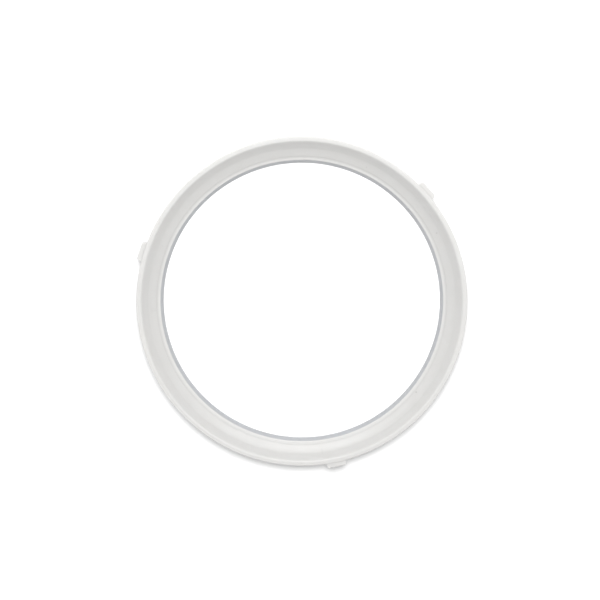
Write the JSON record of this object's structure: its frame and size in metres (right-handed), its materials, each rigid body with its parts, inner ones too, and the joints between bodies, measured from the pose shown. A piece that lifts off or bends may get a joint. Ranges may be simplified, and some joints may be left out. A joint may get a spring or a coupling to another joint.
{
  "type": "pressure cooker sealing ring",
  "caption": "Translucent white silicone sealing ring for a stovetop pressure cooker lid: a flat rim, a sloping lip, a channel underneath for the pan's rim and locating lugs outside.",
  "frame": {"origin": "on the ring's axis, in the plane its foot stands on", "axes": "+Z along the ring's axis, up through the rim; +X and +Y across the ring, with the first lug 42.1 degrees from +X towards +Y and the others every 120 degrees"},
  "size_m": [0.24, 0.2415, 0.0125],
  "materials": {
    "silicone": "satin moulded silicone, translucent white"
  },
  "bodies": {
    "root": {"sealing_ring": "silicone"}
  },
  "joints": []
}
